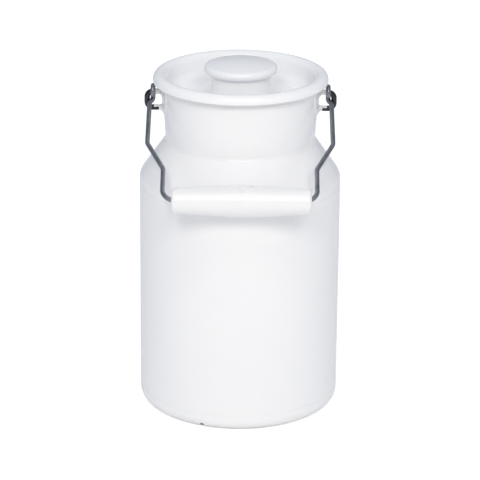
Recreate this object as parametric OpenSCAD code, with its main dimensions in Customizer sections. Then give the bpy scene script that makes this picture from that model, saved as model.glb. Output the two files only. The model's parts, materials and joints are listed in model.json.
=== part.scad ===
// Small enamelled sheet-steel milk can with a drop-in lid and a swinging wire bail.
// Millimetres. +Z is up. The origin is on the can's axis, on the surface it stands on.
// The front, where the bail comes to rest, faces -Y. The two ears stand out along X.
// Each piece of sheet is drawn as a section of one thickness and turned round the axis.

/* [Can] */
// Outside diameter of the body
body_d = 120; // [100:1:150]
// Height at which the straight wall and the shoulder cone would meet
shoulder_z = 143; // [115:1:180]
// Height of the shoulder cone
shoulder_rise = 22; // [16:1:30]
// Thickness of the enamelled sheet
sheet_t = 1.1; // [0.8:0.1:1.6]
// Outside bend radius between the wall and the shoulder
shoulder_bend_r = 8; // [4:0.5:12]
// Outside bend radius of the lower edge
base_bend_r = 6.5; // [4:0.5:9]
// Width of the flat ring that the can stands on
foot_w = 2.4; // [1:0.2:5]
// Height of the raised panel inside the foot ring
panel_rise = 3; // [2.4:0.2:5]

/* [Neck] */
// Outside diameter of the neck where it meets the shoulder
neck_d = 89; // [74:0.5:96]
// Height of the neck above the shoulder
neck_h = 38.1; // [30:0.1:50]
// Growth of the neck's radius from its foot to the mouth
neck_flare = 2.1; // [0:0.1:4]
// Outside radius of the crease between the shoulder and the neck
crease_r = 3; // [2:0.5:6]

/* [Ears] */
// Distance of the ear's upper arm below the mouth
ear_drop = 10.1; // [9.4:0.1:14]
// Distance between the two arms of an ear, centre to centre
ear_span = 9.8; // [9.4:0.1:13]
// Reach of an ear from the neck, outside
ear_reach = 11.2; // [10.8:0.1:14]
// Bend radius of an ear's two corners, on the rod's centre line
ear_corner_r = 3.4; // [3:0.1:4.5]
// Diameter of the ear rod
ear_rod_d = 3.3; // [2.6:0.1:3.6]
// Radius of the round lower edge of the plate behind an ear
plate_r = 16.5; // [14:0.5:19]
// Height of the plate behind an ear
plate_h = 19.6; // [18:0.2:21]
// Rounding of the plate's upper corners
plate_corner_r = 4; // [2:0.5:6]
// Thickness of the plate behind an ear
plate_t = 0.8; // [0.6:0.1:1.6]
// Radius of the weld fillet round the foot of each arm
weld_r = 1.5; // [0.8:0.1:2]

/* [Lid] */
// Radius of the rolled rim's section
bead_r = 4; // [3.2:0.1:4.8]
// How far the rolled rim stands out past the mouth
bead_out = 5.3; // [4.8:0.1:6.5]
// Angle below level at which the rolled rim's face ends
bead_end = 14; // [0:1:30]
// Thickness of the lid's sheet
lid_t = 1; // [0.8:0.1:1.3]
// Depth of the dish, from the top of the rim to the dish floor
dish_depth = 16; // [12:0.5:22]
// Bend radius inside the dish, between its wall and its floor
dish_bend_r = 6.5; // [4:0.5:9]
// Depth below the mouth at which the dish wall has its clearance
plug_depth = 7; // [4:0.5:9]
// Diameter of the vent hole under the knob
vent_d = 6; // [3:0.5:10]
// Clearance between the dish wall and the inside of the neck
lid_gap = 0.45; // [0.4:0.05:1]
// Clearance between the lid and the rim of the mouth
seat_gap = 0.3; // [0.2:0.05:0.6]

/* [Knob] */
// Outside diameter of the knob's stem
stem_d = 35.6; // [24:0.2:42]
// Outside diameter of the knob's cap
cap_d = 43.4; // [32:0.2:52]
// Radius of the cap's rolled edge
cap_edge_r = 2.55; // [2:0.05:3.5]
// Height of the cap's rolled edge above the dish floor
cap_z = 18.2; // [12:0.2:26]
// Rise of the domed top above the rolled edge
dome_rise = 1.6; // [0.8:0.1:4]
// Thickness of the knob's sheet
knob_t = 0.9; // [0.7:0.1:1.2]

/* [Bail] */
// Diameter of the bail wire
wire_d = 2.8; // [2.4:0.02:3.4]
// Clearance between the wire's eye and the ear's upper arm
eye_gap = 0.4; // [0.3:0.05:0.6]
// Angle that the wire turns through to close the eye
eye_turn = 270; // [230:1:275]
// Distance from the hinge line to the grip's centre line
bail_l = 81.4; // [70:0.2:100]
// Distance from the hinge line to the upper bend
upper_bend_l = 38; // [28:1:44]
// Distance from the hinge line to the lower bend
lower_bend_l = 57.5; // [48:0.5:62]
// Clearance between the bail and the lid's rim as it swings past
bead_gap = 0.5; // [0.4:0.1:1.5]
// Bend radius where the wire turns into the grip
grip_bend_r = 8; // [5:0.5:9]
// Bend radius of the other bends, on the wire's centre line
wire_bend_r = 5; // [4:0.5:6]

/* [Grip] */
// Length of the grip
grip_l = 80.4; // [60:0.2:84]
// Diameter of the grip at its middle
grip_mid_d = 18.6; // [14:0.2:22]
// Diameter of the grip at its ends
grip_end_d = 15; // [13:0.2:18]
// Rounding of the grip's ends
grip_round_r = 2; // [1:0.1:2.6]
// Play of the grip's bore round the wire
bore_gap = 0.35; // [0.2:0.05:0.8]
// Distance the grip has slid along the wire
grip_slide = 1; // [0:0.1:1.4]
// Distance from the grip's end to the upright wire when the grip is central
grip_room = 4.3; // [3.5:0.1:6]
// Clearance between the resting grip and the shoulder
rest_gap = 0.3; // [0.2:0.05:1]

/* [Hidden] */
$fn = 96;
ENAMEL = [0.95, 0.955, 0.965];
STEEL = [0.42, 0.44, 0.48];
LACQUER = [0.96, 0.96, 0.955];

// Steps of a rounded section: the widest angle and the longest chord
arc_step = 6;
arc_chord = 1.2;
// Bends of the wire are this much fatter, and its straight runs reach this far into them
bend_swell = 0.02;
bend_lap = 0.3;

// Can
body_r = body_d / 2;
neck_r = neck_d / 2;
mouth_r = neck_r + neck_flare;
neck_z = shoulder_z + shoulder_rise;
mouth_z = neck_z + neck_h;
joint_lip = 3;
base_joint_z = base_bend_r + joint_lip;
cone_dir = unit([neck_r - body_r, shoulder_rise]);
cone_out = [cone_dir[1], -cone_dir[0]];
cone_turn = acos(cone_dir[1]);
cone_cut = shoulder_bend_r * tan(cone_turn / 2);
wall_top_z = shoulder_z - cone_cut;
shoulder_joint_z = wall_top_z - joint_lip;
neck_dir = unit([neck_flare, neck_h]);
neck_out = [neck_dir[1], -neck_dir[0]];
neck_lean = atan2(neck_dir[0], neck_dir[1]);
crease_cut = crease_r * tan((cone_turn + neck_lean) / 2);
cone_start = [body_r, shoulder_z] + cone_dir * cone_cut;
cone_end = [neck_r, neck_z] - cone_dir * crease_cut;
rim_r = sheet_t / 2;

// Lid
lid_r = mouth_r + bead_out;
bead_ring_r = lid_r - bead_r;
rim_mid_r = mouth_r - rim_r;
dish_wall_r = neck_radius(mouth_z - plug_depth) - sheet_t - lid_gap - lid_t;
lip_r = bead_ring_r - dish_wall_r;
seat_reach = lip_r - lid_t - rim_r - seat_gap;
lip_z = mouth_z - rim_r - sqrt(pow(seat_reach, 2) - pow(bead_ring_r - rim_mid_r, 2));
lid_top_z = lip_z + lip_r;
bead_z = lid_top_z - bead_r;
dish_z = lid_top_z - dish_depth;
bead_edge_z = bead_z - bead_r * sin(bead_end);

// Knob
stem_r = stem_d / 2;
cap_ring_r = cap_d / 2 - cap_edge_r;
cap_ring_z = dish_z + cap_z;
cap_under_z = cap_ring_z - cap_edge_r;
cap_top_z = cap_ring_z + cap_edge_r + dome_rise;
dome_reach = (pow(cap_ring_r, 2) + pow(dome_rise, 2)) / (2 * dome_rise);
dome_r = dome_reach + cap_edge_r;
stem_bend_r = 1.8;
knob_weld_gap = 0.1;
stem_top_z = cap_under_z + knob_t + knob_weld_gap + stem_bend_r;

// Ears and bail
ear_r = ear_rod_d / 2;
wire_r = wire_d / 2;
pivot_z = mouth_z - ear_drop;
ear_tip_x = neck_radius(pivot_z - ear_span / 2) + ear_reach;
ear_bend_x = ear_tip_x - ear_r - ear_corner_r;
plate_foot_z = pivot_z - ear_span - ear_r - weld_r;
eye_r = ear_r + eye_gap + wire_r;
eye_out = 1.3;
eye_x = ear_bend_x + eye_out - wire_r;
eye_exit_l = 3.4;
pass_bend_r = 4;
pass_x = lid_r + wire_r + bead_gap;
pass_l = bead_edge_z - pivot_z - wire_r;
upper_spread = 0.4;
upper_x = pass_x + upper_spread;
lower_x = grip_l / 2 + grip_room;
bail_path = [[eye_x, 0], [eye_x, eye_exit_l], [pass_x, pass_l], [upper_x, upper_bend_l],
             [lower_x, lower_bend_l], [lower_x, bail_l]];
bail_bends = [0, pass_bend_r, pass_bend_r, wire_bend_r, wire_bend_r, grip_bend_r];

// Rest position: the bail drops to the front until the grip meets the shoulder.
// The angle is measured from straight down, at the hinge line, to the grip's centre.
grip_arm = norm([bail_l, eye_r]);
rest_reach = grip_mid_d / 2 + rest_gap;
rest_angle = rest_search(5, 150, 24);
bail_turn = 270 - rest_angle - atan2(eye_r, bail_l);

// Grip
grip_mid_r = grip_mid_d / 2;
grip_end_r = grip_end_d / 2;
bore_r = wire_r + bore_gap;
bend_in = grip_l / 2 + grip_slide - (lower_x - grip_bend_r);
bend_slope = asin(bend_in / grip_bend_r);
bell_r = grip_bend_r * (1 - cos(bend_slope)) + wire_r / cos(bend_slope) + bore_gap;
bell_l = bend_in + 1;

// Small helpers
function unit(v) = v / norm(v);
function left_of(v) = [-v[1], v[0]];
function neck_radius(z) = neck_r + neck_flare * (z - neck_z) / neck_h;
function segment_gap(p, a, b) =
    let (ab = b - a, t = max(0, min(1, (p - a) * ab / (ab * ab)))) norm(p - a - ab * t);
// Distance of a point of the section plane from the outside of the can
function can_gap(p) =
    let (v = p - [body_r - shoulder_bend_r, wall_top_z], a = atan2(v[1], v[0]))
    a >= 0 && a <= cone_turn ? norm(v) - shoulder_bend_r
    : min(segment_gap(p, [body_r, 0], [body_r, wall_top_z]),
          segment_gap(p, cone_start, cone_end));
function grip_at(angle) = [grip_arm * sin(angle), pivot_z - grip_arm * cos(angle)];
function inside_can(p) =
    p[0] < body_r
    && (p[1] - shoulder_z) * (body_r - neck_r) < (body_r - p[0]) * shoulder_rise;
// Halves the span between a blocked and a free angle until the grip just clears the can
function rest_search(blocked, free, steps) =
    let (mid = (blocked + free) / 2, p = grip_at(mid))
    steps == 0 ? free
    : inside_can(p) || can_gap(p) < rest_reach ? rest_search(mid, free, steps - 1)
    : rest_search(blocked, mid, steps - 1);

// Sheet sections. A path lists points along the sheet's outer face, each with the
// direction of the inner face, which is on the left of the way the path runs.
function at(p, inward) = [[p, inward]];
function arc(c, r, from, to) =
    let (span = abs(to - from),
         steps = ceil(max(span / arc_step, r * span * PI / 180 / arc_chord)))
    [for (k = [0 : steps])
        let (a = from + (to - from) * k / steps, ray = [cos(a), sin(a)])
        [c + r * ray, to > from ? -ray : ray]];
function round_end(path, t) =
    let (end = path[len(path) - 1], n = end[1], ahead = [n[1], -n[0]], steps = 8)
    [for (k = [1 : steps - 1])
        let (a = 180 * k / steps) end[0] + n * t / 2 + (ahead * sin(a) - n * cos(a)) * t / 2];

// Turns a sheet section of thickness t round the axis; its end can be rounded
module turned_sheet(path, t, rounded = false) {
    last = len(path) - 1;
    rotate_extrude()
        polygon(concat([for (q = path) q[0]], rounded ? round_end(path, t) : [],
                       [for (k = [last : -1 : 0]) path[k][0] + path[k][1] * t]));
}

// A round rod in the XY plane through corner points, with each corner bent to a radius
module bent_rod(points, bends, r) {
    last = len(points) - 1;
    trims = [for (i = [0 : last]) i == 0 || i == last ? 0 : corner_trim(points, bends, i)];
    laps = [for (i = [0 : last]) i == 0 || i == last ? bend_lap : min(bend_lap, trims[i] / 2)];
    for (i = [0 : last - 1]) {
        dir = unit(points[i + 1] - points[i]);
        a = points[i] + dir * (trims[i] - laps[i]);
        b = points[i + 1] - dir * (trims[i + 1] - laps[i + 1]);
        translate([a[0], a[1], 0])
            rotate([0, 90, atan2(dir[1], dir[0])])
                cylinder(r = r, h = norm(b - a));
    }
    for (i = [1 : last - 1])
        rod_bend(points, bends[i], trims[i], i, r + bend_swell);
}

function corner_turn(points, i) =
    let (u = unit(points[i] - points[i - 1]), v = unit(points[i + 1] - points[i]))
    atan2(u[0] * v[1] - u[1] * v[0], u * v);
function corner_trim(points, bends, i) = bends[i] * tan(abs(corner_turn(points, i)) / 2);

module rod_bend(points, bend_r, trim, i, r) {
    u = unit(points[i] - points[i - 1]);
    turn = corner_turn(points, i);
    to_centre = left_of(u) * sign(turn);
    c = points[i] - u * trim + to_centre * bend_r;
    translate([c[0], c[1], 0])
        rotate([0, 0, atan2(-to_centre[1], -to_centre[0]) + min(turn, 0)])
            rotate_extrude(angle = abs(turn))
                translate([bend_r, 0])
                    circle(r);
}

// The solid inside the neck's cone, grown outwards
module neck_cone(grow) {
    translate([0, 0, neck_z])
        cylinder(r1 = neck_r + grow, r2 = mouth_r + grow, h = neck_h);
}

// Places the flat bail on its hinge line, at rest on the front of the shoulder
module at_rest() {
    translate([0, 0, pivot_z])
        rotate([bail_turn, 0, 0])
            children();
}

// Drawn base with a foot ring and a raised panel, welded into the foot of the wall
module base_pan() {
    step_turn = 60;
    foot_in = body_r - base_bend_r - foot_w;
    toe_r = 1.4;
    heel_r = sheet_t + toe_r;
    slope = (panel_rise - (heel_r + toe_r) * (1 - cos(step_turn))) / sin(step_turn);
    aside = [sin(step_turn), cos(step_turn)];
    heel = [foot_in, heel_r];
    toe = heel - (heel_r + toe_r) * aside + slope * [-cos(step_turn), sin(step_turn)];
    color(ENAMEL)
        turned_sheet(concat(at([0, panel_rise], [0, 1]), arc(toe, toe_r, 90, 90 - step_turn),
                            arc(heel, heel_r, -90 - step_turn, -90),
                            arc([body_r - base_bend_r, base_bend_r], base_bend_r, -90, 0),
                            at([body_r, base_joint_z], [-1, 0])), sheet_t);
}

// Straight wall of the can
module body_wall() {
    color(ENAMEL)
        turned_sheet(concat(at([body_r, base_joint_z], [-1, 0]),
                            at([body_r, shoulder_joint_z], [-1, 0])), sheet_t);
}

// Drawn shoulder: a short skirt, the rounded corner and the cone
module shoulder() {
    color(ENAMEL)
        turned_sheet(concat(at([body_r, shoulder_joint_z], [-1, 0]),
                            arc([body_r - shoulder_bend_r, wall_top_z], shoulder_bend_r, 0, cone_turn),
                            at(cone_end, -cone_out)), sheet_t);
}

// Neck: the soft crease at its foot, the slightly flared wall and the rounded rim
module neck() {
    crease = cone_end + cone_out * crease_r;
    color(ENAMEL)
        turned_sheet(concat(arc(crease, crease_r, 180 + cone_turn, 180 - neck_lean),
                            at([mouth_r, mouth_z] - neck_dir * rim_r, -neck_out)), sheet_t, true);
}

// Outline with fully rounded corners
module rounded_rect(w, h, r) {
    square([w - 2 * r, h], center = true);
    square([w, h - 2 * r], center = true);
    for (x = [-1, 1], y = [-1, 1])
        translate([x * (w / 2 - r), y * (h / 2 - r)])
            circle(r);
}

// Outline of an ear's plate: round below, with short straight sides and rounded upper corners
module plate_outline() {
    side_cut = 0.5;
    intersection() {
        translate([0, plate_r])
            circle(plate_r);
        translate([0, plate_h - plate_r])
            rounded_rect(2 * (plate_r - side_cut), 2 * plate_r, plate_corner_r);
    }
}

// Shield-shaped plate that spreads the ear's load over the neck
module ear_plate(side) {
    color(ENAMEL)
        intersection() {
            difference() {
                neck_cone(plate_t);
                neck_cone(0);
            }
            translate([0, 0, plate_foot_z])
                rotate([90, 0, side * 90])
                    linear_extrude(height = mouth_r * 1.5)
                        plate_outline();
        }
}

module ear_plate_left() {
    ear_plate(-1);
}

module ear_plate_right() {
    ear_plate(1);
}

// One straight arm of an ear at height z, with the weld fillet round its foot
module ear_arm(z) {
    root_x = neck_radius(z) + plate_t;
    sunk = 1;
    translate([0, 0, z])
        rotate([0, 90, 0])
            cylinder(r = ear_r, h = ear_bend_x);
    translate([root_x, 0, z])
        rotate([0, 90, 0])
            rotate_extrude()
                difference() {
                    translate([0, -sunk])
                        square([ear_r + weld_r, weld_r + sunk]);
                    translate([ear_r + weld_r, weld_r])
                        circle(weld_r);
                }
}

// One bent corner of an ear, from the given angle through a quarter turn
module ear_corner(z, start) {
    translate([ear_bend_x, 0, z])
        rotate([90, 0, 0])
            rotate([0, 0, start])
                rotate_extrude(angle = 90)
                    translate([ear_corner_r, 0])
                        circle(ear_r);
}

// U-shaped rod welded on the plate; the upper arm carries the bail's eye
module ear_loop(side) {
    upper_z = pivot_z - ear_corner_r;
    lower_z = pivot_z - ear_span + ear_corner_r;
    color(ENAMEL)
        rotate([0, 0, side < 0 ? 180 : 0])
            difference() {
                union() {
                    ear_arm(pivot_z);
                    ear_arm(pivot_z - ear_span);
                    ear_corner(upper_z, 0);
                    ear_corner(lower_z, -90);
                    translate([ear_bend_x + ear_corner_r, 0, lower_z])
                        cylinder(r = ear_r, h = upper_z - lower_z);
                }
                neck_cone(plate_t);
            }
}

module ear_loop_left() {
    ear_loop(-1);
}

module ear_loop_right() {
    ear_loop(1);
}

// Pressed lid: dish, lip over the mouth and turned-down rolled rim, in one sheet
module lid_pan() {
    dish = [dish_wall_r - dish_bend_r, dish_z + dish_bend_r];
    color(ENAMEL)
        turned_sheet(concat(arc([bead_ring_r, bead_z], bead_r, -bead_end, 90),
                            arc([bead_ring_r, lip_z], lip_r, 90, 180),
                            arc(dish, dish_bend_r, 0, -90),
                            at([vent_d / 2, dish_z], [0, -1])), lid_t);
}

// Hollow drawn stem of the knob, closed at the top, welded on the dish floor
module knob_stem() {
    color(ENAMEL)
        turned_sheet(concat(at([stem_r, dish_z], [-1, 0]),
                            arc([stem_r - stem_bend_r, stem_top_z - stem_bend_r], stem_bend_r, 0, 90),
                            at([0, stem_top_z], [0, -1])), knob_t);
}

// Domed cap of the knob, its edge rolled under and closed on the stem
module knob_cap() {
    dome_turn = asin(cap_ring_r / dome_reach);
    color(ENAMEL)
        turned_sheet(concat(at([stem_r, cap_under_z], [0, 1]),
                            arc([cap_ring_r, cap_ring_z], cap_edge_r, -90, 90 - dome_turn),
                            arc([0, cap_top_z - dome_r], dome_r, 90 - dome_turn, 90)), knob_t);
}

// Open eye that closes the wire round an ear's upper arm
module bail_eye() {
    translate([eye_x, 0, 0])
        rotate([180, 0, 0])
            rotate([0, 90, 0])
                rotate_extrude(angle = eye_turn)
                    translate([eye_r, 0])
                        circle(wire_r + bend_swell);
}

// Bail wire, one rod from eye to eye
module bail_wire() {
    last = len(bail_path) - 1;
    points = concat([for (p = bail_path) [-p[0], p[1]]], [for (i = [last : -1 : 0]) bail_path[i]]);
    bends = concat(bail_bends, [for (i = [last : -1 : 0]) bail_bends[i]]);
    color(STEEL)
        at_rest() {
            translate([0, 0, eye_r])
                bent_rod(points, bends, wire_r);
            bail_eye();
            mirror([1, 0, 0])
                bail_eye();
        }
}

// Turned double-cone grip, loose on the straight run of the wire
module grip() {
    half_l = grip_l / 2;
    shank = [grip_end_r - grip_round_r, half_l - grip_round_r];
    outline = concat([for (q = arc(shank, grip_round_r, 90, 0)) q[0]], [[grip_mid_r, 0]]);
    color(LACQUER)
        at_rest()
            translate([grip_slide, bail_l, eye_r])
                rotate([0, 90, 0])
                    difference() {
                        rotate_extrude()
                            polygon(concat([[0, -half_l], [0, half_l]], outline,
                                           [for (k = [len(outline) - 2 : -1 : 0])
                                               [outline[k][0], -outline[k][1]]]));
                        translate([0, 0, -half_l - 1])
                            cylinder(r = bore_r, h = grip_l + 2);
                        for (end = [0, 1])
                            mirror([0, 0, end])
                                translate([0, 0, half_l - bell_l])
                                    cylinder(r1 = bore_r, r2 = bell_r, h = bell_l);
                    }
}

base_pan();
body_wall();
shoulder();
neck();
ear_plate_left();
ear_plate_right();
ear_loop_left();
ear_loop_right();
lid_pan();
knob_stem();
knob_cap();
bail_wire();
grip();
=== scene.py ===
# %% [markdown]
# # A small enamelled milk can
#
# The real can is pressed from thin sheet steel, welded, dipped in white glass enamel and fired.
# It has a straight body, a cone shoulder, a neck, a lid with a hollow knob, and a bent wire bail
# with a turned wooden grip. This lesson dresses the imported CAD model: the frame gives the bodies,
# the joints and a box round every piece, and each cell below makes one real piece or finish.
#
# The frame is loaded first, because everything after it takes its place from the frame.

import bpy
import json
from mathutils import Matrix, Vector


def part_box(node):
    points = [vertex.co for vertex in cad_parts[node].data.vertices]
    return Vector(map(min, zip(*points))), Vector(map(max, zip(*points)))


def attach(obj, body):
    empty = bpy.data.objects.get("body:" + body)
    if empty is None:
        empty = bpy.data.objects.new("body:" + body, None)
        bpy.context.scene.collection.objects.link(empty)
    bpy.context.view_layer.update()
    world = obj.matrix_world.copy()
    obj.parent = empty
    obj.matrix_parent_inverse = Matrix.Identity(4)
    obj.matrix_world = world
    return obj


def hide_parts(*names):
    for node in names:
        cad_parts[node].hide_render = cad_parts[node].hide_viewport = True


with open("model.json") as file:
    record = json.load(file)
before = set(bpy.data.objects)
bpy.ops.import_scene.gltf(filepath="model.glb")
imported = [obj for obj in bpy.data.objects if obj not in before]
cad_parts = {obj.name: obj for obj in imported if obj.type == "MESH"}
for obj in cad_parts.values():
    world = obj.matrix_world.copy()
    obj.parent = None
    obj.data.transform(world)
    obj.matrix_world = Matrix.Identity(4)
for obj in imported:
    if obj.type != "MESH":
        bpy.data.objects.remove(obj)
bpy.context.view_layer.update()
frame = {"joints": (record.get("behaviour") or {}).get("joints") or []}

# %% [markdown]
# ## The tools of the lesson
#
# A can could be modelled by hand from a cylinder, but every round piece here is a thin section
# turned about an axis, and every rod is a circle carried along a line. So two small helpers make
# almost all of it. Both lay out rows of points and then stitch neighbouring rows with four-sided
# faces, which keeps the faces even and lets smooth shading follow the true curve.

# %% Stitch rows of points into a mesh
import json
import math

import bmesh
import bpy
import numpy as np
from mathutils import Matrix, Vector

MM = 0.001
MERGE_WITHIN = 1e-6


def stitch(name, rows, closed=False, laid=None):
    """One smooth mesh from rows of points, each row a closed loop.

    laid keeps a second place for every point, as an attribute of the mesh.
    """
    rows = np.asarray(rows, float)
    count, around = rows.shape[:2]
    faces = []
    for i in range(count if closed else count - 1):
        a, b = i * around, (i + 1) % count * around
        faces += [(a + k, a + (k + 1) % around, b + (k + 1) % around, b + k) for k in range(around)]
    if not closed:
        faces += [tuple(range(around)), tuple(range((count - 1) * around, count * around))]
    mesh = bpy.data.meshes.new(name)
    mesh.from_pydata((rows * MM).reshape(-1, 3).tolist(), [], faces)
    if laid is not None:
        places = mesh.attributes.new("laid_straight", "FLOAT_VECTOR", "POINT")
        places.data.foreach_set("vector", (np.asarray(laid, float) * MM).ravel())
    work = bmesh.new()
    work.from_mesh(mesh)
    bmesh.ops.remove_doubles(work, verts=work.verts, dist=MERGE_WITHIN)
    bmesh.ops.recalc_face_normals(work, faces=work.faces)
    work.to_mesh(mesh)
    work.free()
    mesh.polygons.foreach_set("use_smooth", [True] * len(mesh.polygons))
    piece = bpy.data.objects.new(name, mesh)
    bpy.context.scene.collection.objects.link(piece)
    return piece


def settle(piece, body, node, finish):
    """Gives a piece its finish, its body and its CAD node, and compares the two boxes."""
    piece.data.materials.append(finish)
    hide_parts(node)
    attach(piece, body)
    low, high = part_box(node)
    places = np.array([v.co for v in piece.data.vertices])
    off = max(abs(places.min(0) - np.array(low)).max(), abs(places.max(0) - np.array(high)).max())
    print(f"{piece.name}: {len(piece.data.polygons)} faces, {off * 1000:.2f} mm off its CAD box")
    return piece


# %% [markdown]
# ## Sheet metal as a section
#
# Sheet has one thickness everywhere, so a section is best drawn as a path along its outer face.
# Each stop on the path also says which way the inner face lies. Bends are arcs, and a bend that
# runs into a straight part does so without a corner, as in a real press tool.
#
# Smooth shading averages the directions of the faces round a point. Next to a long flat face
# that average would tilt, and the wall would look dented, so the helper adds a support row just
# inside each end of a long straight run.

# %% Sections, supports and turning
AROUND = 192  # steps round every turned piece
WIDEST, LONGEST = 5, 1.5  # the largest step along a bend, in degrees and in millimetres
SUPPORT = 0.3  # distance of a support row from the end of its run


def bend(centre, radius, start, stop):
    """Stops along a round bend, in degrees: r, z and the direction of the inner face."""
    turn = abs(stop - start)
    steps = max(3, math.ceil(turn / WIDEST), math.ceil(radius * math.radians(turn) / LONGEST))
    side = -1 if stop > start else 1
    turns = [math.radians(start + (stop - start) * k / steps) for k in range(steps + 1)]
    return [(centre[0] + radius * math.cos(t), centre[1] + radius * math.sin(t),
             side * math.cos(t), side * math.sin(t)) for t in turns]


def lip(stop, thickness, opening=False):
    """The rounded edge of the sheet at one end of a path."""
    r, z, nr, nz = stop
    ahead = (-nz, nr) if opening else (nz, -nr)
    half = thickness / 2
    turns = [math.pi * k / 6 for k in range(1, 6)]
    return [(r + nr * half + half * (ahead[0] * math.sin(t) - nr * math.cos(t)),
             z + nz * half + half * (ahead[1] * math.sin(t) - nz * math.cos(t))) for t in turns]


def sheet(path, thickness, first_lip=False, last_lip=False):
    """The closed section of a sheet: outer face, then inner face back."""
    outer = [(r, z) for r, z, _, _ in path]
    inner = [(r + nr * thickness, z + nz * thickness) for r, z, nr, nz in reversed(path)]
    end = lip(path[-1], thickness) if last_lip else []
    start = lip(path[0], thickness, True)[::-1] if first_lip else []
    return outer + end + inner + start


def supported(section):
    """Adds a point close to both ends of every long straight run, and drops repeated points."""
    points = [p for k, p in enumerate(section) if math.dist(p, section[k - 1]) > 1e-4]
    out = []
    for k, a in enumerate(points):
        b = points[(k + 1) % len(points)]
        out.append(a)
        length = math.dist(a, b)
        if length > 4 * SUPPORT:
            share = SUPPORT / length
            out.append((a[0] + (b[0] - a[0]) * share, a[1] + (b[1] - a[1]) * share))
            out.append((b[0] + (a[0] - b[0]) * share, b[1] + (a[1] - b[1]) * share))
    return out


def turned(name, section):
    """Turns a closed section of (radius, height) round the upright axis."""
    turns = np.arange(AROUND) * 2 * math.pi / AROUND
    rows = [[(r * math.cos(t), r * math.sin(t), z) for t in turns] for r, z in supported(section)]
    return stitch(name, rows, closed=True)


print("helpers ready:", AROUND, "steps round every turned piece")

# %% [markdown]
# ## Small helpers for materials
#
# Every finish is a node tree. Writing one by hand is mostly adding nodes, setting values and
# drawing links, so `add` does those three in one line.

# %% Node helpers
def add(tree, kind, label="", values=None, **settings):
    """Adds a node. A value that is a socket is linked, anything else is set."""
    made = tree.nodes.new(kind)
    made.label = label
    for key, value in settings.items():
        setattr(made, key, value)
    for key, value in (values or {}).items():
        if isinstance(value, bpy.types.NodeSocket):
            tree.links.new(value, made.inputs[key])
        else:
            made.inputs[key].default_value = value
    return made


def new_group(name, inputs, outputs):
    """A shader node group with named inputs and outputs. Returns its tree and its two end nodes."""
    tree = bpy.data.node_groups.new(name, "ShaderNodeTree")
    for label, kind, value in inputs:
        socket = tree.interface.new_socket(label, in_out="INPUT", socket_type=kind)
        if value is not None:
            socket.default_value = value
    for label, kind in outputs:
        tree.interface.new_socket(label, in_out="OUTPUT", socket_type=kind)
    return tree, tree.nodes.new("NodeGroupInput"), tree.nodes.new("NodeGroupOutput")


def use(tree, group, values):
    """Places a group in a material."""
    made = tree.nodes.new("ShaderNodeGroup")
    made.node_tree = group
    for key, value in values.items():
        if isinstance(value, bpy.types.NodeSocket):
            tree.links.new(value, made.inputs[key])
        else:
            made.inputs[key].default_value = value
    return made


def new_finish(name, **shine):
    """A material with one Principled shader, whose constants are set on its own sockets."""
    finish = bpy.data.materials.new(name)
    finish.use_nodes = True
    shader = finish.node_tree.nodes["Principled BSDF"]
    for key, value in shine.items():
        shader.inputs[key.replace("_", " ")].default_value = value
    return finish, finish.node_tree, shader


def spot(tree):
    """The place on the piece, in metres, from its Object coordinates."""
    return add(tree, "ShaderNodeTexCoord").outputs["Object"]


print("node helpers ready")

# %% [markdown]
# ## Shared effect: an uneven glassy skin
#
# Fired enamel and brushed lacquer both level out as they set, but never fully. Close up there is
# a fine pebbling like orange peel, and over several centimetres the sheet under it swells a
# little. Two noises of very different size give one height, and a Bump node in each material
# turns that height into a normal. Real displacement would cost many faces for a tenth of a
# hair's width, so bump is the better choice.

# %% Group: uneven skin
skin_group, given, out = new_group(
    "uneven_skin",
    [("Place", "NodeSocketVector", None), ("Fine Size", "NodeSocketFloat", 400.0),
     ("Fine Amount", "NodeSocketFloat", 0.2), ("Broad Size", "NodeSocketFloat", 22.0),
     ("Broad Amount", "NodeSocketFloat", 1.0)],
    [("Height", "NodeSocketFloat")])
fine = add(skin_group, "ShaderNodeTexNoise", "pebbling",
           {"Vector": given.outputs["Place"], "Scale": given.outputs["Fine Size"], "Detail": 2.0})
broad = add(skin_group, "ShaderNodeTexNoise", "swell of the sheet",
            {"Vector": given.outputs["Place"], "Scale": given.outputs["Broad Size"], "Detail": 1.0})
fine_part = add(skin_group, "ShaderNodeMath", "",
                {0: fine.outputs["Fac"], 1: given.outputs["Fine Amount"]}, operation="MULTIPLY")
broad_part = add(skin_group, "ShaderNodeMath", "",
                 {0: broad.outputs["Fac"], 1: given.outputs["Broad Amount"]}, operation="MULTIPLY")
both = add(skin_group, "ShaderNodeMath", "", {0: fine_part.outputs[0], 1: broad_part.outputs[0]})
skin_group.links.new(both.outputs[0], out.inputs["Height"])
print("group", skin_group.name, "made with", len(skin_group.nodes), "nodes")

# %% [markdown]
# ## Shared effect: a drifting value
#
# No finish has one roughness or one tone all over. Handling leaves a faint film, and the coat is
# thicker in one place than in another. This group drifts between two values with a cloudy
# pattern, so it can drive a roughness or a tint.

# %% Group: drift
drift_group, given, out = new_group(
    "drift",
    [("Place", "NodeSocketVector", None), ("Size", "NodeSocketFloat", 30.0),
     ("Low", "NodeSocketFloat", 0.0), ("High", "NodeSocketFloat", 1.0)],
    [("Value", "NodeSocketFloat")])
clouds = add(drift_group, "ShaderNodeTexNoise", "clouds",
             {"Vector": given.outputs["Place"], "Scale": given.outputs["Size"],
              "Detail": 4.0, "Roughness": 0.6})
spread = add(drift_group, "ShaderNodeMapRange", "",
             {"Value": clouds.outputs["Fac"], "From Min": 0.3, "From Max": 0.7,
              "To Min": given.outputs["Low"], "To Max": given.outputs["High"]})
drift_group.links.new(spread.outputs["Result"], out.inputs["Value"])
print("group", drift_group.name, "made")

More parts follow.
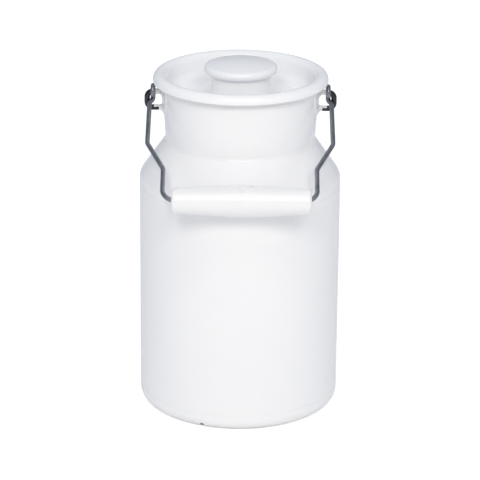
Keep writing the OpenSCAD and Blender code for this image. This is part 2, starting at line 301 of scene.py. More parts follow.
# %% [markdown]
# ## Shared effect: bare ground coat
#
# Under the white lies a black ground coat that bonds the glass to the steel. It shows in a chip and
# on the ears, and the same dark colour also runs along the lowest edge of the foot ring. The group
# takes a distance that falls below zero where the dark colour goes, and frays that edge with noise
# so that it never looks cut with a knife.

# %% Group: frayed edge
fray_group, given, out = new_group(
    "frayed_edge",
    [("Place", "NodeSocketVector", None), ("Distance", "NodeSocketFloat", 1.0),
     ("Fray", "NodeSocketFloat", 0.001), ("Fray Size", "NodeSocketFloat", 900.0),
     ("Softness", "NodeSocketFloat", 0.0002)],
    [("Mask", "NodeSocketFloat")])
ragged = add(fray_group, "ShaderNodeTexNoise", "ragged edge",
             {"Vector": given.outputs["Place"], "Scale": given.outputs["Fray Size"], "Detail": 3.0})
centred = add(fray_group, "ShaderNodeMath", "", {0: ragged.outputs["Fac"], 1: 0.5}, operation="SUBTRACT")
pushed = add(fray_group, "ShaderNodeMath", "",
             {0: centred.outputs[0], 1: given.outputs["Fray"], 2: given.outputs["Distance"]},
             operation="MULTIPLY_ADD")
edge = add(fray_group, "ShaderNodeMath", "", {0: pushed.outputs[0], 1: given.outputs["Softness"]},
           operation="DIVIDE")
mask = add(fray_group, "ShaderNodeMath", "", {0: 0.5, 1: edge.outputs[0]},
           operation="SUBTRACT", use_clamp=True)
fray_group.links.new(mask.outputs[0], out.inputs["Mask"])
print("group", fray_group.name, "made")

# %% [markdown]
# ## Shared effect: grain along one direction
#
# Drawn wire has fine lines along its length, and a turned grip has fine rings round it. Both are
# noise that is squeezed in one direction and stretched in the other, so one group serves both.

# %% Group: drawn grain
grain_group, given, out = new_group(
    "drawn_grain",
    [("Place", "NodeSocketVector", None), ("Stretch", "NodeSocketVector", (1.0, 1.0, 1.0)),
     ("Size", "NodeSocketFloat", 1000.0), ("Low", "NodeSocketFloat", 0.0), ("High", "NodeSocketFloat", 1.0)],
    [("Value", "NodeSocketFloat")])
squeezed = add(grain_group, "ShaderNodeVectorMath", "",
               {0: given.outputs["Place"], 1: given.outputs["Stretch"]}, operation="MULTIPLY")
lines = add(grain_group, "ShaderNodeTexNoise", "lines",
            {"Vector": squeezed.outputs[0], "Scale": given.outputs["Size"],
             "Detail": 3.0, "Roughness": 0.6})
spread = add(grain_group, "ShaderNodeMapRange", "",
             {"Value": lines.outputs["Fac"], "From Min": 0.3, "From Max": 0.7,
              "To Min": given.outputs["Low"], "To Max": given.outputs["High"]})
grain_group.links.new(spread.outputs["Result"], out.inputs["Value"])
print("group", grain_group.name, "made")

# %% [markdown]
# ## Finish: white enamel
#
# White enamel is a milky glass: a bright, slightly cool white under a hard, clear skin. One
# Principled shader does this. Its base is the milky white, its low roughness is the skin, and the
# shared groups break up both. Each piece passes a function that says where the ground coat shows.

# %% White enamel
WHITE = (0.915, 0.918, 0.925, 1.0)
WHITE_THICK = (0.905, 0.91, 0.922, 1.0)
GROUND_COAT = (0.012, 0.012, 0.015, 1.0)
SKIN_STRENGTH, SKIN_HEIGHT = 0.22, 0.0002


def enamel(name, bare=None, pebbles=0.16, swell=1.0, film=(0.10, 0.19)):
    """White enamel. bare(tree, place) gives a distance that is negative where the dark ground-coat colour
    shows.
    """
    finish, tree, shader = new_finish(name, IOR=1.52)
    place = spot(tree)
    thick = use(tree, drift_group, {"Place": place, "Size": 18.0})
    tone = add(tree, "ShaderNodeMix", "thin or thick white", data_type="RGBA")
    tree.links.new(thick.outputs["Value"], tone.inputs["Factor"])
    tone.inputs["A"].default_value, tone.inputs["B"].default_value = WHITE, WHITE_THICK
    gloss = use(tree, drift_group, {"Place": place, "Size": 55.0, "Low": film[0], "High": film[1]})
    colour, rough = tone.outputs["Result"], gloss.outputs["Value"]
    height = use(tree, skin_group, {"Place": place, "Fine Size": 420.0, "Fine Amount": pebbles,
                                    "Broad Size": 24.0, "Broad Amount": swell}).outputs["Height"]
    if bare:
        gone = use(tree, fray_group, {"Place": place, "Distance": bare(tree, place)}).outputs["Mask"]
        mixed = add(tree, "ShaderNodeMix", "ground coat shows", data_type="RGBA")
        tree.links.new(gone, mixed.inputs["Factor"])
        tree.links.new(colour, mixed.inputs["A"])
        mixed.inputs["B"].default_value = GROUND_COAT
        colour = mixed.outputs["Result"]
        height = add(tree, "ShaderNodeMath", "white stands proud",
                     {0: gone, 1: -0.6, 2: height}, operation="MULTIPLY_ADD").outputs[0]
    relief = add(tree, "ShaderNodeBump", "skin",
                 {"Strength": SKIN_STRENGTH, "Distance": SKIN_HEIGHT, "Height": height})
    tree.links.new(colour, shader.inputs["Base Color"])
    tree.links.new(rough, shader.inputs["Roughness"])
    tree.links.new(relief.outputs["Normal"], shader.inputs["Normal"])
    return finish


def measure(tree, place, centre):
    """Distance from a point, in metres."""
    return add(tree, "ShaderNodeVectorMath", "", {0: place, 1: centre}, operation="DISTANCE").outputs["Value"]


def part_of(tree, place, axis):
    """One coordinate of a place."""
    return add(tree, "ShaderNodeSeparateXYZ", "", {0: place}).outputs[axis]


def calc(tree, how, *values):
    """One sum of two or three values."""
    return add(tree, "ShaderNodeMath", "", dict(enumerate(values)), operation=how).outputs[0]


white_enamel = enamel("white_enamel")
print("finish", white_enamel.name, "has", len(white_enamel.node_tree.nodes), "nodes")

# %% [markdown]
# ## The body: base, wall, shoulder and neck
#
# The sizes below are those of the CAD model, in millimetres. The four pieces are separate, as on
# the bench, but their sections meet without a step, because the fired enamel fills the welds and
# the finished can shows no line there.
#
# The base comes first. It has a narrow foot ring and a panel raised by three millimetres, so that
# the can stands on its edge and not on its middle.

# %% Sizes of the body
BODY_R, SHEET = 60.0, 1.1
CORNER_Z, CONE_RISE, CORNER_BEND, BASE_BEND = 143.0, 22.0, 8.0, 6.5
NECK_R, NECK_H, FLARE, CREASE_BEND = 44.5, 38.1, 2.1, 3.0
NECK_Z = CORNER_Z + CONE_RISE
MOUTH_R, MOUTH_Z = NECK_R + FLARE, NECK_Z + NECK_H
CONE_TURN = math.degrees(math.atan2(BODY_R - NECK_R, CONE_RISE))
NECK_LEAN = math.degrees(math.atan2(FLARE, NECK_H))
WALL_TOP = CORNER_Z - CORNER_BEND * math.tan(math.radians(CONE_TURN / 2))
LAP = 3.0  # how far each formed piece runs on into the straight wall


def neck_radius(z):
    """Outside radius of the neck at a height."""
    return NECK_R + FLARE * (z - NECK_Z) / NECK_H


print(f"mouth at {MOUTH_Z:.1f} mm")
print(f"cone leans {CONE_TURN:.1f} degrees, neck leans {NECK_LEAN:.1f} degrees")

# %% Base
FOOT_W, PANEL, TOE, STEP_TURN = 2.4, 3.0, 1.4, 60.0
CHIP, CHIP_R = (-0.0215, -0.0543, 0.0022), 0.0012
DARK_BAND_TOP = 0.00035


def base_section():
    turn = math.radians(STEP_TURN)
    heel_r, heel_x = SHEET + TOE, BODY_R - BASE_BEND - FOOT_W
    slope = (PANEL - (heel_r + TOE) * (1 - math.cos(turn))) / math.sin(turn)
    toe = (heel_x - (heel_r + TOE) * math.sin(turn) - slope * math.cos(turn),
           heel_r - (heel_r + TOE) * math.cos(turn) + slope * math.sin(turn))
    path = [(0, PANEL, 0, 1)] + bend(toe, TOE, 90, 90 - STEP_TURN)
    path += bend((heel_x, heel_r), heel_r, -90 - STEP_TURN, -90)
    path += bend((BODY_R - BASE_BEND, BASE_BEND), BASE_BEND, -90, 0)
    return sheet(path + [(BODY_R, BASE_BEND + LAP, -1, 0)], SHEET)


def base_dark_rim_and_chip(tree, place):
    """The lowest edge of the foot ring is darkened, and one small chip sits on the lower edge."""
    # Darker band: the lowest 0.35 mm of the foot ring takes the dark ground-coat colour. The chip is a real
    # patch of bare ground coat.
    foot = calc(tree, "SUBTRACT", part_of(tree, place, "Z"), DARK_BAND_TOP)
    chip = calc(tree, "SUBTRACT", measure(tree, place, CHIP), CHIP_R)
    return calc(tree, "MINIMUM", foot, chip)


foot_enamel = enamel("enamel_dark_foot_rim", base_dark_rim_and_chip)
settle(turned("base", base_section()), "can", "base_pan", foot_enamel)

# %% [markdown]
# The wall is a plain tube of sheet. The shoulder is drawn as one piece with the round corner, and
# the neck starts in a soft crease, where the enamel gathers and rounds the inside corner. The
# neck's rim is a rounded edge, which is what the lid sits on.

# %% Wall, shoulder and neck
wall_path = [(BODY_R, BASE_BEND + LAP, -1, 0), (BODY_R, WALL_TOP - LAP, -1, 0)]
settle(turned("wall", sheet(wall_path, SHEET)), "can", "body_wall", white_enamel)

cone_out = (math.cos(math.radians(CONE_TURN)), math.sin(math.radians(CONE_TURN)))
cone_up = (-cone_out[1], cone_out[0])
crease_cut = CREASE_BEND * math.tan(math.radians((CONE_TURN + NECK_LEAN) / 2))
cone_end = (NECK_R - cone_up[0] * crease_cut, NECK_Z - cone_up[1] * crease_cut)
shoulder_path = [(BODY_R, WALL_TOP - LAP, -1, 0)]
shoulder_path += bend((BODY_R - CORNER_BEND, WALL_TOP), CORNER_BEND, 0, CONE_TURN)
shoulder_path += [(*cone_end, -cone_out[0], -cone_out[1])]
shoulder = turned("shoulder_cone", sheet(shoulder_path, SHEET))
settle(shoulder, "can", "shoulder", white_enamel)

neck_up = (math.sin(math.radians(NECK_LEAN)), math.cos(math.radians(NECK_LEAN)))
crease = (cone_end[0] + cone_out[0] * CREASE_BEND, cone_end[1] + cone_out[1] * CREASE_BEND)
neck_path = bend(crease, CREASE_BEND, 180 + CONE_TURN, 180 - NECK_LEAN)
neck_path += [(MOUTH_R - neck_up[0] * SHEET / 2, MOUTH_Z - neck_up[1] * SHEET / 2,
               -neck_up[1], neck_up[0])]
neck = turned("neck_wall", sheet(neck_path, SHEET, last_lip=True))
settle(neck, "can", "neck", white_enamel)

# %% [markdown]
# ## The lid
#
# The lid is one pressing: a dish that drops into the neck, a lip over the mouth and a rim rolled
# outwards and down. Its section is a single path, from the lower edge of the rim to the vent hole
# under the knob. The edge is rounded, because enamel never holds a sharp one.

# %% Lid pan
BEAD, BEAD_OUT, BEAD_END = 4.0, 5.3, 14.0  # the rolled rim
LID_T, DISH_BEND, DISH_DEPTH, VENT = 1.0, 6.5, 16.0, 3.0
PLUG_DEPTH, LID_GAP, SEAT_GAP = 7.0, 0.45, 0.3
LID_R = MOUTH_R + BEAD_OUT
BEAD_RING = LID_R - BEAD
DISH_R = neck_radius(MOUTH_Z - PLUG_DEPTH) - SHEET - LID_GAP - LID_T
LIP_R = BEAD_RING - DISH_R
seat = LIP_R - LID_T - SHEET / 2 - SEAT_GAP
LIP_Z = MOUTH_Z - SHEET / 2 - math.sqrt(seat ** 2 - (BEAD_RING - MOUTH_R + SHEET / 2) ** 2)
LID_TOP = LIP_Z + LIP_R
DISH_Z = LID_TOP - DISH_DEPTH

lid_path = bend((BEAD_RING, LID_TOP - BEAD), BEAD, -BEAD_END, 90)
lid_path += bend((BEAD_RING, LIP_Z), LIP_R, 90, 180)
lid_path += bend((DISH_R - DISH_BEND, DISH_Z + DISH_BEND), DISH_BEND, 0, -90)
lid_path += [(VENT, DISH_Z, 0, -1)]
lid_enamel = enamel("enamel_lid", swell=0.7, film=(0.18, 0.28))
settle(turned("lid", sheet(lid_path, LID_T, True, True)), "lid", "lid_pan", lid_enamel)

# %% [markdown]
# ## The knob
#
# The knob is a hollow stem with a domed cap. Where steel is welded to steel, the enamel gathers in
# a small round fillet, and that fillet catches the light as a bright ring. So both pieces start
# with a fillet: the stem on the dish floor, and the cap on the stem.

# %% Knob stem and cap
STEM_R, KNOB_T, STEM_BEND = 17.8, 0.9, 1.8
CAP_EDGE, CAP_R, CAP_RISE, DOME_RISE, FILLET = 2.55, 21.7, 18.2, 1.6, 0.9
STEM_GAP = 0.1  # between the stem's top and the underside of the cap
CAP_Z = DISH_Z + CAP_RISE
cap_ring = CAP_R - CAP_EDGE
cap_under = CAP_Z - CAP_EDGE
stem_top = cap_under + KNOB_T + STEM_GAP + STEM_BEND
dome_reach = (cap_ring ** 2 + DOME_RISE ** 2) / (2 * DOME_RISE)
dome_turn = math.degrees(math.asin(cap_ring / dome_reach))
dome_r = dome_reach + CAP_EDGE
cap_top = CAP_Z + CAP_EDGE + DOME_RISE

stem_path = bend((STEM_R + FILLET, DISH_Z + FILLET), FILLET, 270, 180)
stem_path += bend((STEM_R - STEM_BEND, stem_top - STEM_BEND), STEM_BEND, 0, 90)
stem_path += [(0, stem_top, 0, -1)]
stem = turned("knob_stem_wall", sheet(stem_path, KNOB_T))
settle(stem, "lid", "knob_stem", white_enamel)

cap_path = bend((STEM_R + FILLET, cap_under - FILLET), FILLET, 180, 90)
cap_path += bend((cap_ring, CAP_Z), CAP_EDGE, -90, 90 - dome_turn)
cap_path += bend((0, cap_top - dome_r), dome_r, 90 - dome_turn, 90)
knob_enamel = enamel("enamel_knob", swell=0.5)
settle(turned("knob_dome", sheet(cap_path, KNOB_T)), "lid", "knob_cap", knob_enamel)

# %% [markdown]
# ## Rods
#
# The ears and the bail are round rods. A curve with a bevel would do, but a rod made from rows of
# points can also flare at a weld, end in a cut face, and carry its own straight copy: each point
# remembers where it lay before the rod was bent, so that the grain of the wire can follow the
# bends without a seam.

# %% Carry a circle along a line
ASKEW = (0.31, 0.83, 0.47)  # any direction that no rod starts along


def carried(name, line, radii, sides=28):
    """A round rod along a line of points, with a radius at each point."""
    line = np.asarray(line, float)
    ahead = np.gradient(line, axis=0)
    ahead /= np.linalg.norm(ahead, axis=1)[:, None]
    side = np.cross(ahead[0], ASKEW)
    turns = np.arange(sides) * 2 * math.pi / sides
    run = np.concatenate([[0], np.cumsum(np.linalg.norm(np.diff(line, axis=0), axis=1))])
    rows, laid = [], []
    for point, way, radius, far in zip(line, ahead, radii, run):
        side = side - way * (side @ way)
        side /= np.linalg.norm(side)
        over = np.cross(way, side)
        rows.append([point + radius * (side * math.cos(t) + over * math.sin(t)) for t in turns])
        laid.append([(radius * math.cos(t), radius * math.sin(t), far) for t in turns])
    return stitch(name, rows, laid=laid)


def rounded_line(points, bends, step=6.0):
    """A line through corner points in a plane, each corner replaced by an arc."""
    points = [np.array(p, float) for p in points]
    out = [points[0]]
    for k in range(1, len(points) - 1):
        before, after = points[k] - points[k - 1], points[k + 1] - points[k]
        before, after = before / np.linalg.norm(before), after / np.linalg.norm(after)
        turn = math.atan2(before[0] * after[1] - before[1] * after[0], before @ after)
        trim = bends[k] * math.tan(abs(turn) / 2)
        left = np.array([-before[1], before[0]]) * math.copysign(1, turn)
        centre = points[k] - before * trim + left * bends[k]
        for share in np.linspace(0, 1, max(3, math.ceil(math.degrees(abs(turn)) / step) + 1)):
            a = turn * share
            x, y = -left
            ray = np.array([x * math.cos(a) - y * math.sin(a), x * math.sin(a) + y * math.cos(a)])
            out.append(centre + bends[k] * ray)
    out.append(points[-1])
    return out


def even(line, step=0.8):
    """The same line with points added along its long straight runs."""
    out = [line[0]]
    for a, b in zip(line, line[1:]):
        parts = max(1, math.ceil(np.linalg.norm(np.subtract(b, a)) / step))
        out += [np.add(a, np.subtract(b, a) * k / parts) for k in range(1, parts + 1)]
    return out


print("rod helpers ready")

# %% [markdown]
# ## The ears
#
# Each ear is a U-shaped rod welded on a plate that is round below and cornered above, like a
# shield. The plate lies on the neck's cone, so its outline is drawn flat and every point is then
# pushed out to the cone. Its edge is rounded in front and runs into the neck in a tiny fillet, as
# enamel does. Its back follows the cone too, just inside the neck's sheet, because one flat face
# there would cut across the inside of the neck.
#
# The white ran off the outer bar and the lower arm of each ear in the kiln, so the black ground
# coat shows there.

# %% Ear plates
swing = next(j for j in frame["joints"] if j["name"] == "bail_swing")
PIVOT_Z = swing["pos_m"][2] / MM
EAR_SPAN, EAR_R, EAR_REACH, EAR_BEND, WELD = 9.8, 1.65, 11.2, 3.4, 1.5
PLATE_R, PLATE_H, PLATE_CORNER, PLATE_T = 16.5, 19.6, 4.0, 0.8
PLATE_NARROWER = 0.5  # the plate's straight sides stand this far inside its round edge
PLATE_EDGE, PLATE_FILLET, SUNK = 0.5, 0.5, -0.12
PLATE_FOOT = PIVOT_Z - EAR_SPAN - EAR_R - WELD
EAR_TIP = neck_radius(PIVOT_Z - EAR_SPAN / 2) + EAR_REACH
EAR_BEND_X = EAR_TIP - EAR_R - EAR_BEND


def shield(inset, around=96, widest=30.0, halvings=30):
    """The plate's outline about its middle, made smaller by an inset.

    Along each ray out from the middle, halving finds where the distance to the outline is -inset.
    """
    out = []
    for k in range(around):
        t = 2 * math.pi * (k + 0.5) / around
        near, far = 0.0, widest
        for _ in range(halvings):
            reach = (near + far) / 2
            y, z = reach * math.cos(t), reach * math.sin(t)
            disc = math.hypot(y, z - PLATE_R + PLATE_H / 2) - PLATE_R
            over_y = abs(y) - PLATE_R + PLATE_NARROWER + PLATE_CORNER
            over_z = z - PLATE_H / 2 + PLATE_CORNER
            block = math.hypot(max(over_y, 0), max(over_z, 0)) - PLATE_CORNER
            block += min(max(over_y, over_z), 0)
            near, far = (near, reach) if max(disc, block) > -inset else (reach, far)
        out.append((near * math.cos(t), near * math.sin(t)))
    return out


def plate_rows(side):
    """Rings of the plate, from the middle of its back over the edge to the middle of its front."""
    edge, foot = PLATE_EDGE, PLATE_FILLET
    steps = [(-foot * 1.1, SUNK)]
    steps += [(-foot + foot * math.sin(t), foot - foot * math.cos(t)) for t in np.linspace(0, 1.3, 5)]
    steps += [(edge - edge * math.cos(t), PLATE_T - edge + edge * math.sin(t))
              for t in np.linspace(0.25, math.pi / 2, 6)]
    steps += [(edge + 0.25, PLATE_T)]
    shares = (1, 0.85, 0.7, 0.55, 0.4, 0.25, 0.1, 0)
    rings = [([(y * share, z * share) for y, z in shield(0)], SUNK) for share in shares[::-1]]
    rings += [(shield(inset), height) for inset, height in steps]
    rings += [([(y * share, z * share) for y, z in shield(1.2)], PLATE_T) for share in shares]
    rows = []
    for ring, height in rings:
        row = []
        for y, up in ring:
            z = PLATE_FOOT + PLATE_H / 2 + up
            r = neck_radius(z) + height
            row.append((side * math.sqrt(r * r - y * y), y, z))
        rows.append(row)
    return rows


for side, hand in ((-1, "left"), (1, "right")):
    plate = stitch(f"plate_{hand}", plate_rows(side))
    settle(plate, "can", f"ear_plate_{hand}", white_enamel)

# %% Ear loops
BARE_FROM, BARE_LOW_FROM, BARE_UP_TO = 51.2, 48.4, 0.75


def ear_bare(tree, place):
    """The ground coat shows past the straight upper arm and on the lower arm, but for its top."""
    out_x = calc(tree, "ABSOLUTE", part_of(tree, place, "X"))
    past = calc(tree, "SUBTRACT", BARE_FROM * MM, out_x)
    low = calc(tree, "SUBTRACT", part_of(tree, place, "Z"), (PIVOT_Z - EAR_SPAN + BARE_UP_TO) * MM)
    near = calc(tree, "SUBTRACT", BARE_LOW_FROM * MM, out_x)
    return calc(tree, "MINIMUM", past, calc(tree, "MAXIMUM", low, near))


ear_enamel = enamel("enamel_ears", ear_bare, pebbles=0.5)


def ear_line(side):
    """The rod's line from root to root, and its radius at each stop, flared at both welds."""
    root = neck_radius(PIVOT_Z) + PLATE_T
    low_root = neck_radius(PIVOT_Z - EAR_SPAN) + PLATE_T
    starts = (-0.5, 0, 0.12, 0.3, 0.55, 0.85, 1.2, 1.5, 2.0, 2.7)
    upper = [(root + d, PIVOT_Z, d) for d in starts]
    lower = [(low_root + d, PIVOT_Z - EAR_SPAN, d) for d in starts]
    high, low = PIVOT_Z - EAR_BEND, PIVOT_Z - EAR_SPAN + EAR_BEND
    corners = [(high, t) for t in np.radians(np.linspace(90, 0, 17))]
    corners += [(low, t) for t in np.radians(np.linspace(0, -90, 17))]
    round_part = [(EAR_BEND_X + EAR_BEND * math.cos(t), z + EAR_BEND * math.sin(t), 9) for z, t in corners]
    stops = upper + round_part + lower[::-1]
    line = [(side * x, 0, z) for x, z, _ in stops]
    radii = []
    for _, _, d in stops:
        d = min(max(d, 0), WELD)
        radii.append(EAR_R + WELD - math.sqrt(WELD ** 2 - (WELD - d) ** 2))
    return line, radii


for side, hand in ((-1, "left"), (1, "right")):
    loop = carried(f"loop_{hand}", *ear_line(side))
    settle(loop, "can", f"ear_loop_{hand}", ear_enamel)

# %% [markdown]
# ## Finish: drawn steel wire
#
# The bail is plain spring wire. Drawing it through a die leaves fine lines along its length, and
# storage leaves dull grey patches. The grain reads the straight copy that each rod carries, so
# the lines turn every bend with the wire.

# %% Steel wire
steel, tree, shader = new_finish("drawn_steel", Metallic=1.0)
laid_straight = add(tree, "ShaderNodeAttribute", "place along the straight wire",
                    attribute_name="laid_straight")
along = laid_straight.outputs["Vector"]
lines = use(tree, grain_group, {"Place": along, "Stretch": (1.0, 1.0, 0.035), "Size": 2600.0,
                                "Low": 0.0, "High": 1.0})
dull = use(tree, drift_group, {"Place": along, "Size": 160.0})
tone = add(tree, "ShaderNodeMix", "bright or dull steel", data_type="RGBA")
tone.inputs["A"].default_value = (0.20, 0.21, 0.23, 1)
tone.inputs["B"].default_value = (0.42, 0.43, 0.46, 1)
tree.links.new(calc(tree, "MULTIPLY_ADD", lines.outputs["Value"], 0.45,
                    calc(tree, "MULTIPLY", dull.outputs["Value"], 0.55)), tone.inputs["Factor"])
tree.links.new(tone.outputs["Result"], shader.inputs["Base Color"])
tree.links.new(calc(tree, "MULTIPLY_ADD", dull.outputs["Value"], 0.16, 0.26), shader.inputs["Roughness"])
relief = add(tree, "ShaderNodeBump", "drawing lines",
             {"Strength": 0.35, "Distance": 0.00006, "Height": lines.outputs["Value"]})
tree.links.new(relief.outputs["Normal"], shader.inputs["Normal"])
print("finish", steel.name, "has", len(tree.nodes), "nodes")

# %% [markdown]
# ## The bail
#
# The bail is one wire from eye to eye. It is drawn flat, as it would be bent on a bench: straight
# out of the eye and clear of the ear, in a jog past the rim of the lid, down, in to the grip and
# across. Each end closes round the upper arm of an ear in an open eye. Then the whole bail is
# turned about the hinge line until its grip lies where the frame says.

# %% Sizes and flat shape of the bail
spin = next(j for j in frame["joints"] if j["name"] == "grip_spin")
WIRE_R, GRIP_L, BAIL_L = 1.4, 80.4, 81.4
EYE_GAP, EYE_TURN, EYE_OUT, EYE_EXIT = 0.4, 270, 1.3, 3.4
RIM_GAP, GRIP_ROOM, SPLAY = 0.5, 4.3, 0.4
UPPER_BEND_AT, LOWER_BEND_AT = 38, 57.5
JOG_BEND, WIRE_BEND, GRIP_BEND = 4, 5, 8.0

EYE_R = EAR_R + EYE_GAP + WIRE_R
eye_x = EAR_BEND_X + EYE_OUT - WIRE_R
pass_x = LID_R + WIRE_R + RIM_GAP
pass_far = LID_TOP - BEAD * (1 + math.sin(math.radians(BEAD_END))) - PIVOT_Z - WIRE_R
grip_x = GRIP_L / 2 + GRIP_ROOM
half_shape = [(eye_x, 0), (eye_x, EYE_EXIT), (pass_x, pass_far),
              (pass_x + SPLAY, UPPER_BEND_AT), (grip_x, LOWER_BEND_AT), (grip_x, BAIL_L)]
half_bends = [0, JOG_BEND, JOG_BEND, WIRE_BEND, WIRE_BEND, GRIP_BEND]

hinge = Vector((0, 0, PIVOT_Z))
grip_centre = Vector(spin["pos_m"]) / MM
reach = grip_centre - hinge
lean = math.atan2(reach.z, reach.y) - math.atan2(EYE_R, BAIL_L)
at_rest = Matrix.Translation(hinge) @ Matrix.Rotation(lean, 4, "X")
print(f"the bail lies {math.degrees(lean) % 360:.2f} degrees round from level")

# %% Bend the wire
whole_shape = [(-x, y) for x, y in half_shape] + half_shape[::-1]
flat = rounded_line(whole_shape, half_bends + half_bends[::-1])
strand = [(x, y, EYE_R) for x, y in flat]


def eye(side):
    """Stops round an open eye, from the strand to the cut end."""
    turns = np.radians(np.linspace(0, EYE_TURN, 54))[1:]
    return [(side * eye_x, -EYE_R * math.sin(t), EYE_R * math.cos(t)) for t in turns]


wire_line = eye(-1)[::-1] + even(strand) + eye(1)
wire_line = np.array([at_rest @ Vector(p) for p in wire_line])


def with_cut_ends(line, radius):
    """Adds a slightly nipped edge at both ends of a rod: how far out, and how much thinner."""
    nips = ((0.12, 0.22), (0.05, 0.07))
    first, last = line[0] - line[1], line[-1] - line[-2]
    first, last = first / np.linalg.norm(first), last / np.linalg.norm(last)
    before = [line[0] + first * out for out, _ in nips]
    after = [line[-1] + last * out for out, _ in nips[::-1]]
    thinner = [radius - less for _, less in nips]
    return np.vstack([*before, line, *after]), thinner + [radius] * len(line) + thinner[::-1]


bail = carried("bail_rod", *with_cut_ends(wire_line, WIRE_R), sides=32)
settle(bail, "bail", "bail_wire", steel)
wire_length = np.linalg.norm(np.diff(wire_line, axis=0), axis=1).sum()
print(f"the wire is {wire_length:.0f} mm long before bending")

# %% [markdown]
# ## Finish: white lacquer on wood
#
# The grip is turned from wood and lacquered white. The lacquer is softer than enamel: a warmer
# white, a broader shine, faint turning rings, and a hint of wood grain along the grip.

# %% White lacquer
lacquer, tree, shader = new_finish("white_lacquer", IOR=1.48, Coat_Weight=0.12, Coat_Roughness=0.2)
place = spot(tree)
from_grip = add(tree, "ShaderNodeVectorMath", "", {0: place, 1: tuple(spin["pos_m"])},
                operation="SUBTRACT").outputs[0]
rings = use(tree, grain_group, {"Place": from_grip, "Stretch": (1.0, 0.03, 0.03), "Size": 900.0})
fibres = use(tree, grain_group, {"Place": from_grip, "Stretch": (0.06, 1.0, 1.0), "Size": 700.0})
age = use(tree, drift_group, {"Place": place, "Size": 60.0})
tone = add(tree, "ShaderNodeMix", "lacquer over grain", data_type="RGBA")
tone.inputs["A"].default_value = (0.885, 0.888, 0.895, 1)
tone.inputs["B"].default_value = (0.90, 0.902, 0.905, 1)
shade = calc(tree, "MULTIPLY_ADD", fibres.outputs["Value"], 0.4,
             calc(tree, "MULTIPLY", age.outputs["Value"], 0.6))
tree.links.new(shade, tone.inputs["Factor"])
tree.links.new(tone.outputs["Result"], shader.inputs["Base Color"])
tree.links.new(calc(tree, "MULTIPLY_ADD", age.outputs["Value"], 0.04, 0.27), shader.inputs["Roughness"])
height = calc(tree, "MULTIPLY_ADD", rings.outputs["Value"], 0.6,
              calc(tree, "MULTIPLY", fibres.outputs["Value"], 0.4))
relief = add(tree, "ShaderNodeBump", "rings and fibres",
             {"Strength": 0.05, "Distance": 0.00003, "Height": height})
tree.links.new(relief.outputs["Normal"], shader.inputs["Normal"])
print("finish", lacquer.name, "has", len(tree.nodes), "nodes")

# %% [markdown]
# ## The grip
#
# The grip is a double cone with a soft ridge in the middle, rounded ends and a bore that flares
# where the wire bends away. It is turned about its own axis and then laid along the wire.

# %% Turn the grip
MID_R, END_R, END_ROUND = 9.3, 7.5, 2.0
BORE_GAP, GRIP_SLIDE, RIDGE = 0.35, 1.0, 1.6
BORE = WIRE_R + BORE_GAP
half = GRIP_L / 2
fall = (MID_R - END_R) / (half - END_ROUND)
bend_in = half + GRIP_SLIDE - (grip_x - GRIP_BEND)
slope = math.asin(bend_in / GRIP_BEND)
BELL = GRIP_BEND * (1 - math.cos(slope)) + WIRE_R / math.cos(slope) + BORE_GAP


def grip_radius(x):
    """Straight cones with a ridge rounded over a few millimetres."""
    return MID_R - fall * (math.sqrt(x * x + RIDGE * RIDGE) - RIDGE)


stations = (0, 0.8, 1.6, 2.6, 4, 6, 9, 14, 20, 26, 32, 36, half - END_ROUND - 0.6)
outer = [(x, grip_radius(x)) for x in stations]
outer += [(half - END_ROUND + END_ROUND * math.sin(t), END_R - END_ROUND + END_ROUND * math.cos(t))
          for t in np.radians(np.arange(0, 91, 9))]
outer += [(half, BELL + 0.6), (half - 0.03, BELL + 0.25), (half - 0.25, BELL)]
outer += [(half - bend_in - 0.8, BORE + 0.1), (half - bend_in - 1.4, BORE), (0, BORE)]
profile = outer + [(-x, r) for x, r in outer[-2:0:-1]]
GRIP_AROUND = 96
turns = np.arange(GRIP_AROUND) * 2 * math.pi / GRIP_AROUND
rows = [[(grip_centre.x + x, grip_centre.y + r * math.cos(t), grip_centre.z + r * math.sin(t))
         for t in turns] for x, r in profile]
settle(stitch("grip_wood", rows, closed=True), "grip", "grip", lacquer)

# %% [markdown]
# ## Floor, light and camera
#
# White on white needs gentle light, and light that comes from somewhere. A weak, cool sky fills
# the shadows. Two small soft boxes stand in front, well above the can and a little warm, and draw
# the highlights. A wide, low one brightens the front of the body. A cooler one lights the lid from
# above, one stands high behind and one on each side, so that the edges don't go dark. Only the
# two in front and the one above show as reflections.
#
# A floor bright enough to look white would throw its own light up the can. So the floor is a
# plain pale grey with a faint glow, and the glow is much stronger for camera rays alone.

# %% Floor
FLOOR_HALF, FLOOR_Z = 4.0, -0.0001
corners = [(x * FLOOR_HALF, y * FLOOR_HALF, FLOOR_Z) for x, y in ((-1, -1), (1, -1), (1, 1), (-1, 1))]
ground = bpy.data.meshes.new("floor")
ground.from_pydata(corners, [], [(0, 1, 2, 3)])
floor = bpy.data.objects.new("floor", ground)
bpy.context.scene.collection.objects.link(floor)
pale, tree, shader = new_finish("pale_floor", Roughness=0.6)
shader.inputs["Base Color"].default_value = (0.86, 0.86, 0.86, 1)
strong = add(tree, "ShaderNodeEmission", "glow for the camera",
             {"Color": (1, 1, 1, 1), "Strength": 0.5})
faint = add(tree, "ShaderNodeEmission", "faint glow for the can",
            {"Color": (1, 1, 1, 1), "Strength": 0.07})
rays = add(tree, "ShaderNodeLightPath")
chosen = add(tree, "ShaderNodeMixShader", "", {0: rays.outputs["Is Camera Ray"]})
tree.links.new(faint.outputs[0], chosen.inputs[1])
tree.links.new(strong.outputs[0], chosen.inputs[2])
lit = add(tree, "ShaderNodeAddShader")
tree.links.new(shader.outputs[0], lit.inputs[0])
tree.links.new(chosen.outputs[0], lit.inputs[1])
tree.links.new(lit.outputs[0], tree.nodes["Material Output"].inputs["Surface"])
ground.materials.append(pale)

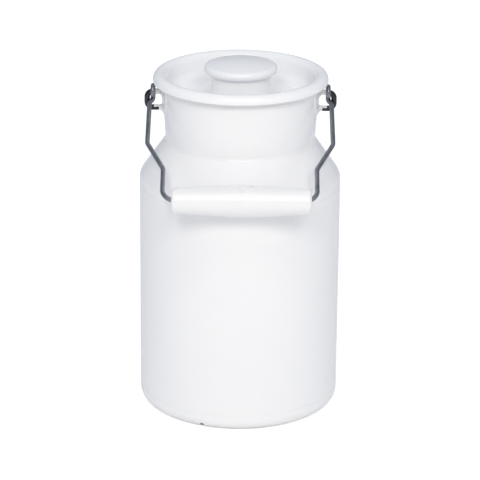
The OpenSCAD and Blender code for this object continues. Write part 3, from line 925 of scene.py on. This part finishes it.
# %% Sky and soft boxes
world = bpy.data.worlds.new("even_sky")
bpy.context.scene.world = world
world.use_nodes = True
sky = world.node_tree.nodes["Background"]
sky.inputs["Color"].default_value = (0.80, 0.87, 1.0, 1)
sky.inputs["Strength"].default_value = 0.395


WARM, PLAIN = (1.0, 0.935, 0.855), (0.96, 0.98, 1.0)
LAMP_DISTANCE, AIM = 1.9, Vector((0, 0, 0.12))


def soft_box(name, azimuth, elevation, width, height, watts, colour):
    """A rectangular lamp that faces the can. Azimuth 0 is straight in front."""
    lamp = bpy.data.lights.new(name, "AREA")
    lamp.shape, lamp.size, lamp.size_y, lamp.energy, lamp.color = "RECTANGLE", width, height, watts, colour
    box = bpy.data.objects.new(name, lamp)
    a, e = math.radians(azimuth), math.radians(elevation)
    away = Vector((math.sin(a) * math.cos(e), -math.cos(a) * math.cos(e), math.sin(e)))
    box.location = AIM + away * LAMP_DISTANCE
    box.rotation_euler = away.to_track_quat("Z", "Y").to_euler()
    bpy.context.scene.collection.objects.link(box)
    return box


soft_box("front_left", -12, 37, 0.40, 0.50, 7.9, WARM)
soft_box("front_right", 16, 37, 0.50, 0.50, 7.9, WARM)
soft_box("front_low", 0, 9, 1.4, 0.6, 2.6, WARM).visible_glossy = False
soft_box("above", 0, 65, 1.2, 0.5, 4.2, PLAIN)
soft_box("behind", 180, 55, 1.4, 0.6, 5.4, PLAIN).visible_glossy = False
for side in (-1, 1):
    soft_box("beside", 95 * side, 22, 0.6, 0.6, 3.4, PLAIN).visible_glossy = False

# %% Camera
CAMERA_AT = (0.0003, -1.4473, 0.6255)
SENSOR, LENS = 36.0, 191.1
pitch, roll = math.radians(19.967), 0.0077  # looking down, and a slight tilt to one side

camera = bpy.data.objects.new("camera", bpy.data.cameras.new("camera"))
bpy.context.scene.collection.objects.link(camera)
camera.data.sensor_width, camera.data.lens = SENSOR, LENS
looking = Vector((0, math.cos(pitch), -math.sin(pitch)))
level = Vector((1, 0, 0))
upward = level.cross(looking)
right = level * math.cos(roll) + upward * math.sin(roll)
top = upward * math.cos(roll) - level * math.sin(roll)
pose = Matrix((right, top, -looking)).transposed().to_4x4()
camera.matrix_world = Matrix.Translation(CAMERA_AT) @ pose
camera.data.clip_start, camera.data.clip_end = 0.05, 30
bpy.context.scene.camera = camera
bpy.context.scene.view_settings.view_transform = "Standard"
print("camera", [round(x, 3) for x in camera.location], "lens", camera.data.lens)
